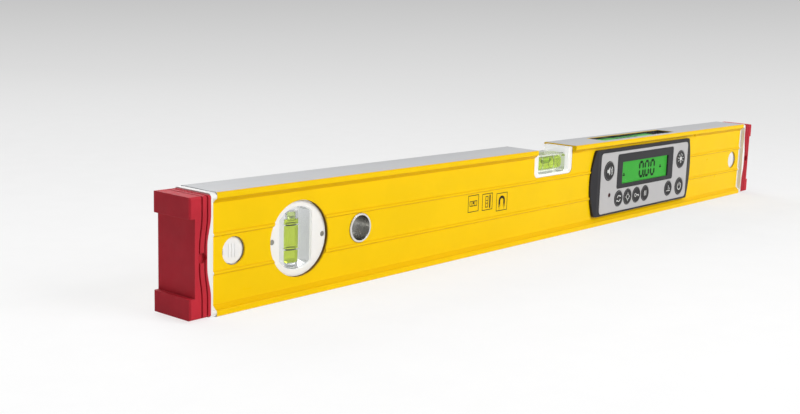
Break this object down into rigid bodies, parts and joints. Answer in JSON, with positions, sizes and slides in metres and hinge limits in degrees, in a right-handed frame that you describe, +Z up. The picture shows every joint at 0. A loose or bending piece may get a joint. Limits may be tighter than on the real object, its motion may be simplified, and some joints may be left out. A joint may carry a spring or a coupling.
{
  "type": "digital spirit level",
  "caption": "Box-section spirit level with block vials, a digital angle display, an upper display, base magnets and pull-off end caps.",
  "frame": {"origin": "centre of the lower measuring face, halfway along the level", "axes": "+X along the level towards the display end, +Y away from the display side, +Z up"},
  "size_m": [0.61, 0.0274, 0.061],
  "materials": {
    "yellow_paint": "gloss powder coat, milled bare on the measuring faces",
    "bright_steel": "bright",
    "nickel_steel": "nickel plated",
    "white_plastic": "moulded",
    "acrylic": "polished acrylic",
    "ring_black": "printed black",
    "liquid_green": "clear liquid",
    "bubble_clear": "gas bubble",
    "frame_black": "fine grain",
    "panel_grey": "satin film",
    "bezel_dark": "gloss print",
    "lens_clear": "clear cover",
    "lcd_green": "backlit liquid crystal",
    "lamp_red": "translucent",
    "key_black": "soft touch",
    "mat_rubber": "silicone",
    "board_green": "solder mask",
    "chassis_black": "moulded",
    "cell_wrap": "printed sleeve",
    "seal_rubber": "soft",
    "ribbon_film": "polyimide film",
    "magnet_red": "moulded",
    "cap_red": "soft matt"
  },
  "bodies": {
    "level_body": {"profile": "yellow_paint", "hang_hole_sleeve": "bright_steel", "plumb_insert": "white_plastic", "plumb_insert_pins": "bright_steel", "plumb_vial_block": "acrylic", "plumb_vial_plug": "acrylic", "plumb_vial_rings": "ring_black", "plumb_vial_liquid": "liquid_green", "level_cradle": "white_plastic", "level_vial_block": "acrylic", "level_vial_plug": "acrylic", "level_vial_rings": "ring_black", "level_vial_liquid": "liquid_green", "display_frame": "frame_black", "key_panel": "panel_grey", "display_bezel": "bezel_dark", "display_lens": "lens_clear", "display_cell": "lcd_green", "status_lamp": "lamp_red", "key_mat": "mat_rubber", "circuit_board": "board_green", "tilt_sensor": "bright_steel", "beeper": "frame_black", "module_chassis": "chassis_black", "rear_frame": "frame_black", "frame_screws": "bright_steel", "battery_cells": "cell_wrap", "battery_contacts": "nickel_steel", "upper_tray": "frame_black", "upper_lens": "lens_clear", "upper_cell": "lcd_green", "upper_ribbon": "ribbon_film", "left_magnet_carrier": "magnet_red", "left_magnets": "nickel_steel", "right_magnet_carrier": "magnet_red", "right_magnets": "nickel_steel"},
    "left_cap": {"left_cap_shell": "cap_red", "left_cap_core": "white_plastic", "left_cap_spring": "bright_steel"},
    "right_cap": {"right_cap_shell": "cap_red", "right_cap_core": "white_plastic", "right_cap_spring": "bright_steel"},
    "left_front_release": {"left_front_button": "white_plastic"},
    "left_rear_release": {"left_rear_button": "white_plastic"},
    "right_front_release": {"right_front_button": "white_plastic"},
    "right_rear_release": {"right_rear_button": "white_plastic"},
    "battery_door": {"battery_cover": "chassis_black", "cover_seal": "seal_rubber"},
    "coin_screw": {"cover_screw": "nickel_steel"},
    "plumb_air": {"plumb_bubble": "bubble_clear"},
    "level_air": {"level_bubble": "bubble_clear"},
    "speaker_button": {"speaker_key": "key_black"},
    "light_button": {"light_key": "key_black"},
    "power_button": {"power_key": "key_black"},
    "reference_button": {"reference_key": "key_black"},
    "mode_button": {"mode_key": "key_black"},
    "calibrate_button": {"calibrate_key": "key_black"},
    "lock_button": {"lock_key": "key_black"},
    "hold_button": {"hold_key": "key_black"}
  },
  "joints": [
    {"name": "left_cap_pull", "type": "slide", "parent": "level_body", "child": "left_cap", "axis": [-1, 0, 0], "range_m": [0, 0.046]},
    {"name": "right_cap_pull", "type": "slide", "parent": "level_body", "child": "right_cap", "axis": [1, 0, 0], "range_m": [0, 0.046]},
    {"name": "left_front_press", "type": "slide", "parent": "left_cap", "child": "left_front_release", "axis": [0, 1, 0], "range_m": [0, 0.002], "stiffness_N_per_m": 800, "deforming": ["left_cap_spring"]},
    {"name": "left_rear_press", "type": "slide", "parent": "left_cap", "child": "left_rear_release", "axis": [0, -1, 0], "range_m": [0, 0.002], "stiffness_N_per_m": 800},
    {"name": "right_front_press", "type": "slide", "parent": "right_cap", "child": "right_front_release", "axis": [0, 1, 0], "range_m": [0, 0.002], "stiffness_N_per_m": 800, "deforming": ["right_cap_spring"]},
    {"name": "right_rear_press", "type": "slide", "parent": "right_cap", "child": "right_rear_release", "axis": [0, -1, 0], "range_m": [0, 0.002], "stiffness_N_per_m": 800},
    {"name": "speaker_press", "type": "slide", "parent": "level_body", "child": "speaker_button", "axis": [0, 1, 0], "range_m": [0, 0.0006], "stiffness_N_per_m": 800, "deforming": ["key_mat"]},
    {"name": "light_press", "type": "slide", "parent": "level_body", "child": "light_button", "axis": [0, 1, 0], "range_m": [0, 0.0006], "stiffness_N_per_m": 800},
    {"name": "power_press", "type": "slide", "parent": "level_body", "child": "power_button", "axis": [0, 1, 0], "range_m": [0, 0.0006], "stiffness_N_per_m": 800},
    {"name": "reference_press", "type": "slide", "parent": "level_body", "child": "reference_button", "axis": [0, 1, 0], "range_m": [0, 0.0006], "stiffness_N_per_m": 800},
    {"name": "mode_press", "type": "slide", "parent": "level_body", "child": "mode_button", "axis": [0, 1, 0], "range_m": [0, 0.0006], "stiffness_N_per_m": 800},
    {"name": "calibrate_press", "type": "slide", "parent": "level_body", "child": "calibrate_button", "axis": [0, 1, 0], "range_m": [0, 0.0006], "stiffness_N_per_m": 800},
    {"name": "lock_press", "type": "slide", "parent": "level_body", "child": "lock_button", "axis": [0, 1, 0], "range_m": [0, 0.0006], "stiffness_N_per_m": 800},
    {"name": "hold_press", "type": "slide", "parent": "level_body", "child": "hold_button", "axis": [0, 1, 0], "range_m": [0, 0.0006], "stiffness_N_per_m": 800},
    {"name": "battery_cover_pull", "type": "slide", "parent": "level_body", "child": "battery_door", "axis": [0, 1, 0], "range_m": [0, 0.022]},
    {"name": "coin_screw_turn", "type": "hinge", "parent": "battery_door", "child": "coin_screw", "pos_m": [0.1468, 0.0125, 0.0305], "axis": [0, 1, 0], "continuous": true},
    {"name": "plumb_bubble_rise", "type": "slide", "parent": "level_body", "child": "plumb_air", "axis": [0, 0, 1], "range_m": [-0.019, 0], "stiffness_N_per_m": 5, "deforming": ["plumb_vial_liquid"]},
    {"name": "level_bubble_drift", "type": "slide", "parent": "level_body", "child": "level_air", "axis": [1, 0, 0], "range_m": [-0.0085, 0.0085], "stiffness_N_per_m": 2, "deforming": ["level_vial_liquid"]}
  ]
}
